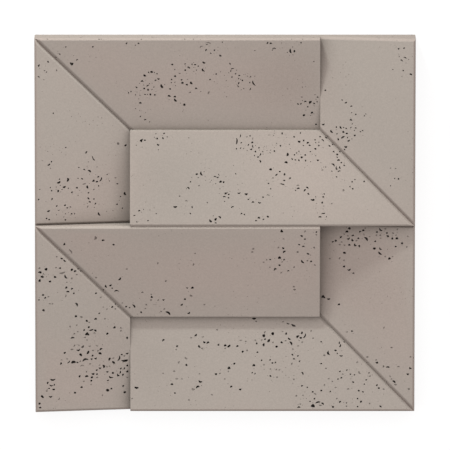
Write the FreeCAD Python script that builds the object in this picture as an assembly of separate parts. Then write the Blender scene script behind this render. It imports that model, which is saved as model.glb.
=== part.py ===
import FreeCAD, Part
import os

# Square concrete wall panel, cast in one piece, lying face up on its flat back.
# Two rows of four tilted facets cover the face. Every facet falls from an outer edge of its row to
# a crease at the middle of that row. The four facets of a row are two pairs, one higher than the
# other, and the lower row is the upper one turned half round.
# X runs along the rows, Y across them, and the origin is the centre of the back. Millimetres.

panelWidth = 600.0      # side of the panel along the rows
rowHeight = 300.0       # one row, half of the panel's other side
sideFacetWidth = 150.0  # the short facet at either end of a row
thinnest = 13.0         # thickness at the crease of the lower pair
facetRise = 23.0        # rise of a facet from its crease to its outer edge
levelStep = 8.0         # the higher pair stands this much above the lower one
arris = 3.5             # 45 degree bevel on the outer edges, the mitres and the line between the rows

thickest = thinnest + facetRise + levelStep
up = FreeCAD.Vector(0, 0, 1)


def planeFace(points):
    return Part.Face(Part.makePolygon(points + points[:1]))


def spaceOver(start, end, inward):
    # what lies over the plane that climbs inward at 45 degrees from the line between two points
    reach = 4 * arris
    along = (end - start).normalize() * reach
    climb = (inward + up) * reach
    lower = [start - along - climb, end + along - climb]
    upper = [end + along + climb, start - along + climb]
    return planeFace(lower + upper).extrude(up * 2 * thickest)


def facetBlock(corners):
    # Block from the back up to one tilted facet. A corner has its place, its level, and whether the edge
    # that leaves it is bevelled.
    crown = [FreeCAD.Vector(x, y, level) for (x, y), level, bevelled in corners]
    feet = [FreeCAD.Vector(x, y, 0) for (x, y), level, bevelled in corners]
    block = planeFace(feet).extrude(up * thickest).cut(planeFace(crown).extrude(up * thickest))
    for index, (place, level, bevelled) in enumerate(corners):
        if bevelled:
            follower = (index + 1) % len(corners)
            inward = up.cross(feet[follower] - feet[index]).normalize()
            block = block.cut(spaceOver(crown[index] - up * arris, crown[follower] - up * arris, inward))
    return block


def facetPair(lift):
    # Side facet and long facet of the upper left corner, mitred with a V groove between their bevels. The
    # edges that stand as plain steps against the other pair are left sharp.
    left = -panelWidth / 2
    fold = left + sideFacetWidth
    far = -fold
    crease = rowHeight / 2
    inner = thinnest + lift
    outer = inner + facetRise
    sideFacet = facetBlock([
        ((left, rowHeight), outer, True),
        ((left, 0), outer, True),
        ((fold, 0), inner, False),
        ((fold, crease), inner, True),
    ])
    longFacet = facetBlock([
        ((left, rowHeight), outer, True),
        ((fold, crease), inner, False),
        ((far, crease), inner, False),
        ((far, rowHeight), outer, True),
    ])
    return [sideFacet, longFacet]


def halfTurned(blocks, centre):
    turned = [block.copy() for block in blocks]
    for block in turned:
        block.rotate(centre, up, 180)
    return turned


lowPair = facetPair(0)
highPair = halfTurned(facetPair(levelStep), FreeCAD.Vector(0, rowHeight / 2, 0))
upperRow = lowPair + highPair
lowerRow = halfTurned(upperRow, FreeCAD.Vector(0, 0, 0))
panel = upperRow[0].multiFuse(upperRow[1:] + lowerRow).removeSplitter()

os.makedirs("parts", exist_ok=True)
panel.exportStep("parts/relief_panel.step")
print("relief_panel", len(panel.Solids), panel.isValid(), round(panel.Volume), panel.BoundBox)
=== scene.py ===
import math

import bmesh
import bpy
import numpy as np
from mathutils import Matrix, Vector
from mathutils.geometry import delaunay_2d_cdt


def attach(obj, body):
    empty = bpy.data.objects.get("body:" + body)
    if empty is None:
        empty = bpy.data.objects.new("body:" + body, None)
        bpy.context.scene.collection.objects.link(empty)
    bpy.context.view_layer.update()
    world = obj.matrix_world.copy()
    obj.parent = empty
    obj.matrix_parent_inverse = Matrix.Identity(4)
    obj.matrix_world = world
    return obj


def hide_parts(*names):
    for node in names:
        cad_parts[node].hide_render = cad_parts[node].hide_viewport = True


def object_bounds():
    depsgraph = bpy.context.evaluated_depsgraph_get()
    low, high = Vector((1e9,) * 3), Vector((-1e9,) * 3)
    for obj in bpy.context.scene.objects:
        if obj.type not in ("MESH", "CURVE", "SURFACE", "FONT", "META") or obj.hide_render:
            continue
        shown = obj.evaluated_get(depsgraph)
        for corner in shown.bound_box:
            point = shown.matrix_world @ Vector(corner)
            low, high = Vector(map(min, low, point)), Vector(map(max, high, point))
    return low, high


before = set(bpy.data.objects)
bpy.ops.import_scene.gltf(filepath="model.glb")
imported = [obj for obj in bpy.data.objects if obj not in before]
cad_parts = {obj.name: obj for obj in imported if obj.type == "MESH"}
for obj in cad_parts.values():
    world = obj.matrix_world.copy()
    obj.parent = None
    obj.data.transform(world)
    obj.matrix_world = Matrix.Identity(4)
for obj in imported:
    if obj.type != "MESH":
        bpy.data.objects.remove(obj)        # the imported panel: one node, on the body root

cadBox = [list(corner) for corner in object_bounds()]
mm = 0.001
print("frame loaded, panel box in metres", cadBox)


# Shader maths

class Wire:
    # a socket that can stand in a sum: every operator adds one Math node behind it
    def __init__(self, tree, socket=None):
        self.tree = tree
        self.socket = socket

    def node(self, kind, settings, sockets, output=0):
        # a new node with its settings, then the values or links of its sockets; gives one of its outputs
        made = self.tree.nodes.new(kind)
        for name, value in settings.items():
            setattr(made, name, value)
        for name, value in sockets.items():
            if isinstance(value, Wire):
                self.tree.links.new(value.socket, made.inputs[name])
            else:
                made.inputs[name].default_value = value
        return Wire(self.tree, made.outputs[output]) if len(made.outputs) else None

    def maths(self, operation, first, second):
        return self.node("ShaderNodeMath", {"operation": operation}, {0: first, 1: second})

    def __add__(self, other):
        return self.maths("ADD", self, other)

    def __sub__(self, other):
        return self.maths("SUBTRACT", self, other)

    def __rsub__(self, other):
        return self.maths("SUBTRACT", other, self)

    def __mul__(self, other):
        return self.maths("MULTIPLY", self, other)

    __radd__ = __add__
    __rmul__ = __mul__

    def larger(self, other):
        return self.maths("MAXIMUM", self, other)

    def noise(self, place, scale, detail=2.0):
        # soft random values about 0.5
        return self.node("ShaderNodeTexNoise", {}, {"Vector": place, "Scale": scale, "Detail": detail}, "Fac")

    def ramp(self, low, high):
        # an S curve from 0 at low to 1 at high, which may be the smaller one
        sockets = {"Value": self, "From Min": low, "From Max": high}
        return self.node("ShaderNodeMapRange", {"interpolation_type": "SMOOTHSTEP"}, sockets)

    def blend(self, first, second):
        # first colour where this value is 0, second where it is 1
        return self.node("ShaderNodeMix", {"data_type": "RGBA"}, {0: self, 6: first, 7: second}, 2)

    def scaled(self, factor):
        # a colour times a number
        return self.node("ShaderNodeVectorMath", {"operation": "SCALE"}, {0: self, 3: factor})


def emptyTree(owner):
    # the node tree of a material or a world, cleared
    owner.use_nodes = True
    owner.node_tree.nodes.clear()
    return Wire(owner.node_tree)


# Concrete: two close tones in soft clouds, fine sand, pinholes, and air pores, with painted shade in the
# pores, pinholes and corners

concrete = {
    "warmTone": (0.413, 0.349, 0.309, 1.0),
    "coolTone": (0.396, 0.351, 0.311, 1.0),
    # painted shade: the near-black tone of the insides of pores and pinholes
    "poreShadeTone": (0.020, 0.016, 0.014, 1.0),
    "cloudScale": 3.5,         # lighter and darker clouds to the metre
    "cloudDetail": 3.0,
    "cloudDepth": 0.07,
    "tintScale": 5.95,         # warmer and cooler clouds to the metre
    "tintDepth": 0.8,
    "sandScale": 400.0,
    "sandDepth": 0.26,
    "sandBump": 0.5,           # of the bump height
    "pinholeScale": 170.0,     # cells to the metre, each with one place for a pinhole
    "pinholeRim": (0.16, 0.06),    # a pinhole fades in between these distances from its place
    "pinholeShade": 0.75,
    "pinholeBump": 0.8,        # of the bump height
    "crowdScale": 22.0,        # patches to the metre that have pinholes
    "crowdRim": (0.50, 0.68),
    "roughness": 0.88,
    "sandRoughness": 0.08,     # the sand makes it vary by this much
    "gloss": 0.12,
    "bumpHeight": 0.25 * mm,
    "bumpShare": 0.35,
    "cornerShadeReach": 30.0 * mm,  # painted shade: the skin is darkened this far out from an inner corner
    "cornerShadeDepth": 0.5,
    "cornerShadeSamples": 8,
}


def concreteFinish(look):
    # skin = the two tones blended by warmth and clouds, times a level that is 1 plus stains, painted edge
    # shade, clouds and sand, and less in the corners as painted shade; pores and pinholes take the pore tone
    # as painted shade
    material = bpy.data.materials.new("concrete")
    wire = emptyTree(material)
    place = wire.node("ShaderNodeTexCoord", {}, {}, "Object")
    poreShadeAmount, stainAndEdgeShade, warmth = [wire.node("ShaderNodeAttribute", {"attribute_name": name}, {}, "Fac")
                             for name in ("poreShadeAmount", "stainAndEdgeShade", "warmth")]

    clouds = wire.noise(place, look["cloudScale"], look["cloudDetail"])
    tint = warmth + look["tintDepth"] * (wire.noise(place, look["tintScale"]) - 0.5)
    sand = wire.noise(place, look["sandScale"])
    cells = wire.node("ShaderNodeTexVoronoi", {"feature": "F1"},
                      {"Vector": place, "Scale": look["pinholeScale"]}, "Distance")
    crowded = wire.noise(place, look["crowdScale"]).ramp(*look["crowdRim"])
    pinholes = cells.ramp(*look["pinholeRim"]) * crowded
    openness = wire.node("ShaderNodeAmbientOcclusion", {"samples": look["cornerShadeSamples"], "only_local": True},
                         {"Distance": look["cornerShadeReach"]}, "AO")

    level = 1 + stainAndEdgeShade + look["cloudDepth"] * (clouds - 0.5) + look["sandDepth"] * (sand - 0.5)
    # painted shade: darker where ambient occlusion finds inner corners and creases
    level = level * (1 - look["cornerShadeDepth"] * (1 - openness))
    skin = tint.blend(look["coolTone"], look["warmTone"]).scaled(level)
    height = look["sandBump"] * sand - look["pinholeBump"] * pinholes
    # the pore tone paints shade inside the pores and pinholes
    surface = wire.node("ShaderNodeBsdfPrincipled", {}, {
        "Base Color": poreShadeAmount.larger(look["pinholeShade"] * pinholes).blend(skin, look["poreShadeTone"]),
        "Roughness": look["roughness"] + look["sandRoughness"] * (sand - 0.5),
        "Specular IOR Level": look["gloss"],
        "Normal": wire.node("ShaderNodeBump", {}, {
            "Strength": look["bumpShare"], "Distance": look["bumpHeight"], "Height": height}),
    })
    wire.node("ShaderNodeOutputMaterial", {}, {"Surface": surface})
    return material


# The casting: the panel's own shape with softened edges and open air pores

casting = {
    "edgeRound": 0.9 * mm,     # radius of every raised edge
    "edgeSteps": 3,
    "edgeAngle": 20,           # degrees past which an edge is raised
    "plateArea": 0.0007,       # faces over this many square metres carry pores
    "rimPoints": 12,           # corners round a pore's mouth
    "ringShares": (0.97, 0.6),     # rings of a pore's bowl: shares of its radius
    "ringDepths": (0.5, 0.9),      # and of its depth
    "poreShare": 1.13,         # of the listed sizes
    "poreSteep": (0.65, 1.1),      # depth as a share of the width
    "poreShade": (0.85, 1.0),      # how much of the pore tone, the painted shade inside a pore
    "hollowSteep": (0.15, 0.25),
    "hollowShade": (0.35, 0.6),
    "deepest": 4.5 * mm,
    "bend": 0.1,               # of the width
    "slenderBend": 0.2,        # more for each width that a pore is longer than wide, up to two
    "wobble": (0.11, 0.11, 0.06),  # spread of the three waves round a rim
    "stretch": 0.5,            # spread of the length over the width of small pores
    "tinyPores": 500,          # beside the listed ones
    "tinyReach": 7.0 * mm,
    "tinyWidth": 0.9 * mm,
    "tinySpread": (0.7, 1.3),
    "strayWidth": 1.7 * mm,    # middle width of the pores on the outer edges and the back
    "straySpread": 0.45,
    "strayLimits": (0.7 * mm, 3.8 * mm),
    "poreGap": 0.4 * mm,       # least concrete between two pores, and between a pore and an edge
    "wallPores": 4000,         # to the square metre of the upright faces
    "backPores": 390,          # to the square metre
    "shadedEdgeBand": 3.4 * mm,      # the outer edges and their bevels, painted with shade: warmer and a little darker
    "edgeShadeWarmth": 1.2,
    "edgeShadeTone": -0.09,
    "gridStep": 15.0 * mm,     # spacing of the plain points between the pores
    "backStep": 30.0 * mm,
    "gridShake": 0.25,         # of the step
    "gridMargin": 0.3,         # of the step, from the outline
    "gridClear": 2.0 * mm,     # from a pore
    "seed": 12,
    # soft stains: x, y, reach in millimetres, brighter or darker by, and how much of the warm tone
    "stains": [
        (-200, 262, 60, 0.00, 0.8), (-120, 225, 70, 0.00, 0.7), (-30, 230, 70, 0.01, 0.7),
        (50, 230, 65, -0.03, 0.7), (115, 232, 60, -0.07, 0.7), (-235, 40, 60, 0.00, 0.7),
        (-175, 75, 45, 0.00, 0.5), (-105, 80, 70, -0.07, 0.0), (125, 75, 80, 0.07, 0.6),
        (240, 60, 70, 0.03, 0.0), (-215, -40, 60, 0.00, 0.8), (-120, -75, 65, 0.00, 0.7),
        (-40, -75, 65, 0.00, 0.7), (40, -75, 65, 0.00, 0.7), (115, -72, 60, 0.00, 0.7),
        (210, -50, 60, -0.02, 0.7), (255, -110, 60, -0.04, 0.8), (190, -100, 50, -0.05, 0.5),
        (285, -190, 50, 0.00, 0.6), (-280, -235, 50, 0.00, 0.7), (-215, -275, 55, 0.00, 0.6),
        (-195, -200, 50, -0.03, 0.45), (-130, -215, 55, -0.05, 0.0),
    ],
    # open pores of the face, one by one: x and y in millimetres, length, width, and degrees turned from X
    "pores": [
        # upper row: upper facet
        (-241.5, 258, 5.5, 4.2, -30), (-155, 292, 3.4, 2, 60), (-126.5, 239, 3.8, 3.6, 0),
        (-115.5, 245, 4.6, 2.8, -30), (-130.5, 230, 3.8, 2.6, 0), (-109.5, 231.3, 3.2, 2, 30),
        (-104.8, 233.2, 3.6, 2.6, -20), (-122, 222.5, 4, 2, 40), (-139.5, 219.5, 3, 2.2, -40),
        (-127.2, 217.5, 3, 2.4, 20), (-121.3, 215.5, 3.8, 2.4, -50), (-148, 212.5, 2.4, 1.8, 60),
        (-117.5, 208, 3.4, 2.6, -60), (-110.5, 207, 2.8, 2.2, -15), (-133.5, 194, 3.8, 2.8, 0),
        (-126, 166.5, 3.2, 2, 25), (-100, 221, 7, 3.2, -60), (-83, 257, 3, 2.8, 0),
        (-52, 257.5, 3, 1.4, 85), (-57, 252.5, 4, 2.6, -30), (-62.5, 248, 3.4, 2.2, -25),
        (-78.5, 238, 3.8, 2.6, -20), (-35, 247.5, 5.4, 2.8, -50), (-33.5, 260, 5, 2.6, -30),
        (-67, 227, 3.6, 3.4, 0), (-60, 224, 3.4, 2.6, -60), (-53.5, 226.5, 4.8, 3.2, -50),
        (-86.5, 217, 3, 2.2, -30), (-45.5, 218, 3.4, 2.6, 0), (-55, 211.5, 2.4, 1.6, 20),
        (-88, 205.5, 4.2, 3, 10), (-79, 204.3, 3.4, 3, 0), (-78.5, 198, 5.8, 3, -45),
        (-64, 191, 4, 3.4, -40), (-28.5, 290, 3, 1.4, 10), (-30, 281, 4, 2, 60),
        (-16.5, 280.5, 3.4, 1.8, 60), (-22.5, 275.5, 2.6, 1.6, -60), (-7.5, 271.5, 3.8, 2.6, -40),
        (8, 258.5, 3.6, 1.6, -70), (11.5, 250.5, 5, 1.6, 15), (9, 246.5, 3.6, 1.4, 80),
        (16.5, 242, 2.4, 1.8, 60), (11, 236.5, 2.8, 1.8, 40), (22.5, 239, 3, 2, 0),
        (21.5, 234, 2.6, 1.4, 80), (27.5, 231, 2.8, 2, -60), (21.5, 226.5, 3.6, 1.8, 80),
        (20.5, 221.5, 4, 1.4, -70), (44.5, 226, 8.5, 2.2, -65), (40, 216.5, 4.2, 1.4, 70),
        (67, 292.5, 3.6, 2.2, 70), (72, 292, 3.6, 2.6, 10), (77.5, 284, 5, 1.8, -10),
        (74.5, 281, 2.4, 1.2, 60), (102.5, 279, 6.5, 2.8, -70), (109, 279, 4, 2.6, 80),
        (119.5, 293, 3, 1.6, 70), (121, 203.5, 2.2, 1.6, -15), (126.5, 196.5, 3.2, 2.4, 0),
        (134.5, 195, 4.6, 3.8, 90), (115, 192, 3, 2, -20), (119.5, 192.5, 3, 1.8, 70),
        (140.5, 193, 3, 2.2, -10), (130.5, 187.5, 2.6, 2, 60), (137, 178, 4, 2.8, 30),
        (124.5, 173.5, 3.8, 3.2, 10), (146, 203.5, 3, 2, -10), (143.5, 158.5, 3, 2.4, 0),
        # left facet
        (-278.5, 262, 3.4, 2, -60), (-293, 256.5, 3.6, 2.4, 50), (-293, 238.5, 3.4, 1.6, -45),
        (-265, 248, 2.4, 1.6, -70), (-270.5, 179.5, 2.4, 1.8, 20), (-157, 125, 4, 2.6, 20),
        (-219, 115.5, 4.6, 2, 60), (-208, 105, 8, 1.5, -58), (-277.5, 97, 4.6, 2.2, 25),
        (-222, 88, 3.4, 1.8, -15), (-213.5, 85.5, 6, 2.4, -35), (-225.5, 73, 2.8, 2.2, -40),
        (-247.5, 72, 4.6, 4, 80), (-261, 73.5, 3, 1.4, 60), (-262, 68, 5, 3.4, 20),
        (-253.5, 60.5, 4.6, 2.8, 20), (-257, 57, 2, 1.2, 30), (-263, 54.5, 4.2, 2.6, 80),
        (-233.5, 59, 3.2, 2.4, -20), (-241.5, 52, 3, 2.2, 20), (-217.5, 59.5, 5.5, 2.4, -55),
        (-207.5, 69.5, 3.6, 3.4, 0), (-202.2, 68, 3.8, 2.4, 10), (-200, 75.5, 3.4, 2, 40),
        (-195.5, 71, 7, 2, 65), (-215.5, 41.5, 3.4, 2.4, -40), (-207, 40, 2.6, 2, 10),
        (-213.5, 35.5, 4, 1.8, -10), (-204.5, 32.5, 3, 1.8, 50), (-199.5, 15.5, 6, 2.4, -60),
        (-294, 42, 2.8, 2, 0), (-265.5, 30.5, 2.8, 2, 25), (-252.5, 31.5, 3, 2.4, 0),
        (-278.5, 22.5, 3.6, 2.8, -20), (-281.5, 11, 2.6, 2, 0), (-277.5, 9, 2.6, 2, 0),
        (-252, 7.8, 3, 1.8, 20), (-170, 63.5, 2.6, 2, 0), (-158.5, 47, 5, 3, -65),
        (-165, 43, 2.4, 1.6, -10),
        # lower facet
        (-132, 134.5, 4.6, 3.6, 80), (-126.5, 135, 3, 2.2, 20), (-107, 137.5, 2.8, 2.4, 0),
        (-105.5, 127.5, 3.2, 2.6, 0), (-135.5, 25, 3.2, 2, 15), (-143, 17.5, 3.2, 1.4, 10),
        (-96, 145.5, 3, 1.8, 10), (19, 133, 9.5, 2, 85), (24.5, 141.5, 5, 1.4, 80),
        (43, 131.5, 3.4, 2.6, 10), (37, 127.5, 3.4, 1.6, 60), (43.5, 125, 4.2, 1.8, -75),
        (41.5, 120.5, 3.4, 2, 20), (24.5, 122.5, 2.6, 1.4, 50), (48, 117, 2.8, 2.2, 0),
        (56, 112.5, 4, 1.8, 70), (52.2, 108.5, 4, 1.6, 10), (56, 102, 4.2, 2.2, -70),
        (72, 89.5, 4, 3.2, -20), (86.5, 86, 2.8, 2, -20), (81, 81, 4, 2, 45), (94, 81.5, 4, 2.4, 50),
        (93.5, 72, 3.6, 1.8, 10), (90.5, 66.5, 7, 1.6, -15), (60, 46, 2.6, 2, 0), (33.5, 50.5, 4.6, 2.8, 5),
        (22, 52, 4.2, 2, 0), (1, 52, 3.8, 2.6, 30), (6, 50.5, 3, 1.6, 30), (-1, 47, 5, 1.6, -5),
        (37, 42.5, 3, 1.6, 20), (44, 38.5, 4, 2, 5), (54.5, 37, 5, 1.8, -10), (11.5, 31, 3.6, 2.2, 20),
        (26, 20.5, 2.8, 2, 0), (53.5, 14, 4, 2.6, 0), (67.5, 15.5, 3.4, 2.6, -30), (49, 9.5, 2.6, 2, 0),
        (-44.5, 82, 3.2, 2.8, 0), (-38, 82.5, 6, 2.6, -70), (-57.5, 60.5, 4, 2.2, -35),
        (-16, 78.5, 3.4, 1.6, -10), (-11.6, 76.7, 3.4, 1.8, 10), (-10, 81, 2.4, 1.4, -60),
        (-7, 70, 4, 3, 20), (-2.3, 69.5, 3, 2.4, 50), (-78.5, 30.5, 6, 2.4, -5), (-8, 15, 5.5, 2, -40),
        (-15, 11.5, 4.4, 3, 60), (-23, 8.5, 5, 3, -30), (90, 145.5, 3.4, 2, 80), (99, 112.5, 5, 3.4, 80),
        (96.5, 100.5, 4.6, 3, -20), (109, 140, 2.8, 2, 0), (117, 132.5, 4, 3, 10), (124, 134.5, 3, 2, 70),
        (130.5, 131, 3.4, 2.6, 20), (133.5, 126.8, 2.8, 2.2, 0), (150, 140.5, 2.6, 2, 0),
        (142.5, 121.5, 3.2, 2.4, -20), (126.5, 112, 2.8, 2, 0), (121, 108, 3.4, 2.8, 0),
        (106, 105.5, 2.6, 2, -60), (116.5, 103.5, 3, 2, -70), (127, 103, 3, 2, -70),
        (146.5, 103.5, 3, 2.4, 0), (165, 126, 2.8, 2, 0), (171.5, 117, 3, 1.8, -20),
        (177, 112.7, 3.2, 2.6, 30), (179, 104, 3.6, 2.6, 0), (171, 97, 6, 2, -40), (175.4, 91, 6, 1.8, -75),
        (179.8, 86.9, 4.6, 1.6, 20), (180.8, 92, 4.4, 1.6, -60), (176, 77.5, 2.6, 1.6, -15),
        (153.5, 88.5, 2.6, 1.2, 0), (200.5, 70, 2.8, 1.8, 60), (219.5, 70.5, 3, 2, 40),
        (201.5, 59, 2.8, 2, 0), (115.5, 60, 4.4, 2.2, 10), (125.6, 57, 4, 2.4, 40), (130, 61, 4, 2.2, -40),
        (131.5, 51, 4, 1.8, -40), (138.5, 41.5, 5, 3.2, 0), (155, 46.5, 3, 2, -10),
        (153.5, 37.5, 3.2, 2.4, 60), (155.5, 20.5, 4.6, 1.8, 0), (150, 15.5, 4.6, 2, -5),
        (102.5, 75.5, 3.4, 2, 20), (-14.5, 6, 3, 1.6, 0), (154.5, 135.1, 4, 1.8, -45),
        (177, 108.4, 2.6, 1.6, -45),
        # right facet
        (190.5, 195.5, 4, 2, 30), (199, 190.5, 3, 2, 15), (198.5, 168.5, 3.6, 2.6, -15),
        (175.5, 156, 2.6, 2, -20), (182, 155.5, 4, 2.6, -60), (283.5, 270.5, 4.2, 1.8, -20),
        (278, 266, 4, 1.8, -15), (292.5, 244, 4, 2.4, -20), (213.5, 150, 2.6, 1.6, 0),
        (186.5, 148.5, 3.8, 2.6, -20), (192, 146.5, 3.4, 2.4, 0), (185.5, 140.5, 6, 2.2, 30),
        (204.5, 143.5, 3.2, 2.4, 0), (195, 134.5, 4, 2.2, 30), (190.5, 124.5, 3.8, 3.2, 0),
        (273.5, 76, 2.8, 2.2, 0), (167.5, 148.5, 5, 2.8, -50), (178.5, 136.5, 3.6, 2.4, -30),
        (188.4, 120.5, 2.8, 1.8, -40), (155, 159.5, 4.4, 2.2, 10),
        # lower row: left facet
        (-253.5, -56.5, 4.6, 2.2, -35), (-258, -52.8, 4, 2.2, -15), (-242, -71, 4.2, 3.2, 20),
        (-237, -73.4, 4, 2.8, 25), (-260.5, -68, 3, 2.6, 30), (-282.5, -69.3, 4.4, 4, 0),
        (-292, -73.5, 4.6, 3.6, 0), (-288.6, -81, 4.6, 3.4, 0), (-292.9, -87.1, 4.4, 3.4, 80),
        (-252.2, -82.6, 6.5, 2.6, -60), (-268.5, -82.2, 4, 3, -20), (-276.4, -89.2, 3.4, 3, 0),
        (-250.7, -99.7, 3.8, 3, 10), (-241.9, -101.6, 3.4, 2.4, 40), (-248.2, -106, 4.6, 2.4, -10),
        (-239, -109.1, 3, 2.2, 45), (-287.4, -110.3, 3.4, 2.8, 0), (-283.9, -115.1, 3.2, 2.4, 60),
        (-204, -110.3, 3.2, 2.4, 20), (-286.9, -135.2, 4, 3.2, -30), (-234, -127, 6.6, 2.6, -58),
        (-178.4, -133, 3.2, 2.6, 30), (-235.7, -146.2, 4.2, 2.8, 0), (-199, -142.9, 2.6, 2, 60),
        (-218.6, -154.2, 3.4, 3.2, 0), (-204.6, -151.4, 4.2, 3, 0), (-215.4, -164.6, 3.2, 2.8, 60),
        (-222.9, -168.9, 3, 2.2, 60), (-218, -175.4, 6, 4.4, 0), (-211.5, -169.6, 6.5, 2.2, 12),
        (-205.2, -170.4, 4.4, 2.6, -40), (-241.2, -180.6, 5.8, 2.4, 5), (-186.2, -175.8, 3.6, 3.2, 0),
        (-174.8, -166.4, 4.4, 2.8, 45), (-155, -183.7, 3.8, 2.8, 75), (-225, -196, 4.4, 2.8, 45),
        (-231.8, -201.4, 5.6, 2.4, 15), (-196.6, -200.3, 4.4, 2.8, 30), (-253.6, -205, 3.6, 2.6, 0),
        (-216.5, -205.6, 6, 3.2, 62), (-228.2, -208.6, 4.8, 3.6, -40), (-209.7, -210.7, 3.6, 2.4, 60),
        (-197.8, -207.6, 4.8, 3.4, -30), (-204.6, -215.7, 3.6, 2.8, 0), (-211.1, -216.4, 3, 2.4, 0),
        (-221.5, -216.3, 9, 3, 14), (-240, -220, 6.6, 4.4, 10), (-247, -220.2, 4.6, 2, 45),
        (-233.6, -220.9, 3, 2.2, 0), (-259.3, -222, 3.6, 2.8, 70), (-183, -217, 6, 2.4, 55),
        (-176.6, -223, 5.4, 3.2, -35), (-167.2, -216.8, 8, 2.4, 72), (-163.4, -210.4, 3, 2.2, -30),
        (-154.8, -209.3, 4.6, 2.2, 10), (-158.4, -221, 9.4, 3.6, 2), (-191.5, -228.5, 5, 3.6, -55),
        (-198, -231.6, 4, 2.2, -10), (-203, -234.4, 3.2, 2.2, 20), (-186.4, -237.9, 3.2, 2.4, 0),
        (-177.6, -239.6, 3.4, 3, 0), (-165, -233.2, 3.2, 2.4, 30), (-159.3, -233.1, 3, 2.4, 60),
        (-165.6, -239, 4.6, 2, 75), (-154.7, -228.6, 3.2, 2.6, 60), (-154.6, -238.3, 4.4, 2.6, 25),
        (-161.8, -243.1, 3.4, 2.6, 60), (-169.6, -244, 4.6, 2.8, -45), (-230, -243.6, 3.6, 2.8, 60),
        (-219, -243.5, 5.4, 2.8, 10), (-208.8, -240.6, 4.2, 3, 0), (-210.6, -246, 4, 2.8, 20),
        (-202.7, -241, 3, 2.4, 0), (-211.8, -251.1, 3.4, 2.4, 50), (-181.1, -247.1, 5.6, 2.8, -25),
        (-185.4, -251.7, 3.4, 2, 10), (-227.1, -261.1, 3.6, 2.8, 0), (-237.4, -270, 3.4, 2.8, 0),
        (-185.9, -267.3, 5, 4.2, -20), (-180, -265, 3.4, 2.2, 20), (-158.9, -271.7, 3.8, 3.4, 0),
        (-161.1, -261.4, 3.4, 2.4, 60), (-272.6, -248.2, 8, 2.6, 3), (-280.7, -252.4, 4, 2.2, 60),
        (-275, -257.4, 5.4, 2, 0), (-270, -256, 3.4, 1.6, 80), (-278.6, -261.4, 3.4, 1.6, 0),
        (-271.1, -263.6, 3.8, 2.8, 0), (-289.3, -274.6, 4.6, 3.6, -60), (-276, -275.5, 4.8, 2.6, 0),
        (-293.6, -285.7, 3.4, 3.2, 0), (-292.6, -292, 3.6, 2.4, 0),
        # upper facet
        (-192.5, -22.5, 4.4, 2.6, 15), (-176, -30, 3.2, 2.8, 0), (-253.5, -29.3, 4.8, 2.4, 60),
        (-166, -87.2, 5.6, 2.6, 50), (-181, -97.8, 3.6, 3, 30), (-178.3, -102.3, 2.4, 2, 0),
        (-171.6, -106.2, 6.6, 2.2, 0), (-188.6, -99.4, 4.6, 2.6, -60), (-116, -117, 3.6, 3, -60),
        (-156.4, -133, 3, 2.4, 0), (-151, -134.6, 2.4, 1.8, 40), (-143.5, -131.8, 6.4, 2.6, -55),
        (-132.7, -142.4, 3.2, 2.4, 0), (-97.4, -121.8, 3.2, 2.4, 0), (-59.7, -102, 3, 2, 0),
        (-51.5, -101.4, 4, 3.4, 0), (-63.3, -120.6, 3.2, 2.8, 0), (-68.3, -130, 4, 2.6, 30),
        (-89.5, -143, 8.5, 3.2, -38), (-57.1, -144, 4.4, 2.6, 25), (-93.6, -90.4, 2.4, 2, 0),
        (89.3, -7.6, 5.6, 3.2, -58), (91.9, -36, 3.4, 3, 0), (93.3, -41.4, 4.8, 2.8, 35),
        (86.1, -51.5, 4.6, 4.2, 0), (93.3, -54.6, 3.2, 2, 40), (86.1, -63.9, 3.4, 2.8, 0),
        (79, -70.4, 5, 2.8, 35), (71.4, -54.7, 2.6, 2.2, 0), (100, -73.1, 3, 2.2, 20),
        (121, -15.7, 3.6, 2.8, 0), (126.1, -20.7, 3, 2.4, 0), (144.3, -8.9, 2.6, 2.2, 0),
        (123.7, -32.6, 4, 2.2, 0), (117.1, -30, 3, 2.2, -30), (131.2, -45, 4, 2.6, -20),
        (122, -58.6, 6, 2.8, -58), (136, -57.6, 3.2, 2.6, 0),
        # right facet
        (196.5, -7.3, 4, 3.6, 0), (192.6, -12.5, 4.6, 3.2, 10), (218.4, -9.8, 3.8, 2.6, 10),
        (213.3, -12, 3.6, 2, 20), (245.4, -8.6, 4.8, 2.8, -35), (240, -12.1, 3.4, 2.4, 20),
        (255.7, -13.2, 3, 2.4, 20), (257.1, -18.4, 3.6, 3.2, 0), (264.3, -21.8, 4, 2.6, 70),
        (271.3, -21.2, 4.6, 3, 10), (202, -18.5, 5, 1.8, 25), (183.1, -21.8, 3.4, 2.8, 30),
        (195.2, -24.5, 4.6, 2.4, 20), (201.1, -26.4, 4.4, 2.8, -60), (210.7, -22.9, 3.2, 2.2, 0),
        (223.6, -23.2, 7, 3.2, -55), (175, -27.8, 4, 2.6, 10), (170.2, -29.8, 3, 2, 20),
        (196.5, -33.9, 4, 2.4, 10), (205.4, -34.4, 4.4, 3, -45), (212.1, -35.3, 3.6, 2.8, -20),
        (237.4, -27.1, 3, 2.4, 60), (188.9, -46.9, 4.4, 3.2, -10), (236, -38.5, 4.4, 3.4, 0),
        (245.2, -39.2, 4.2, 2.4, -40), (244.4, -46.5, 6, 2.8, -45), (259.7, -54, 3.8, 3.6, 0),
        (279.6, -29, 3.4, 2.8, 0), (269.6, -34.6, 3, 2.2, 0), (188.3, -69.2, 3.4, 2.8, 10),
        (196.4, -74.5, 4.8, 2.4, 12), (203.1, -79.3, 3, 2.2, 0), (155.4, -118.8, 5.6, 4.4, 0),
        (164, -122.6, 4.8, 2.4, 8), (180.4, -130.4, 3.4, 3, 0), (201.1, -172.9, 3.2, 2.2, 0),
        (240.7, -222.9, 4.2, 2.8, 20), (257.9, -229, 5.4, 2.2, 0), (293, -230.3, 3.6, 3, -40),
        (289.3, -240, 3.6, 2.8, 0), (268, -252.4, 6.5, 2.4, -35),
        # lower facet
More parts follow.
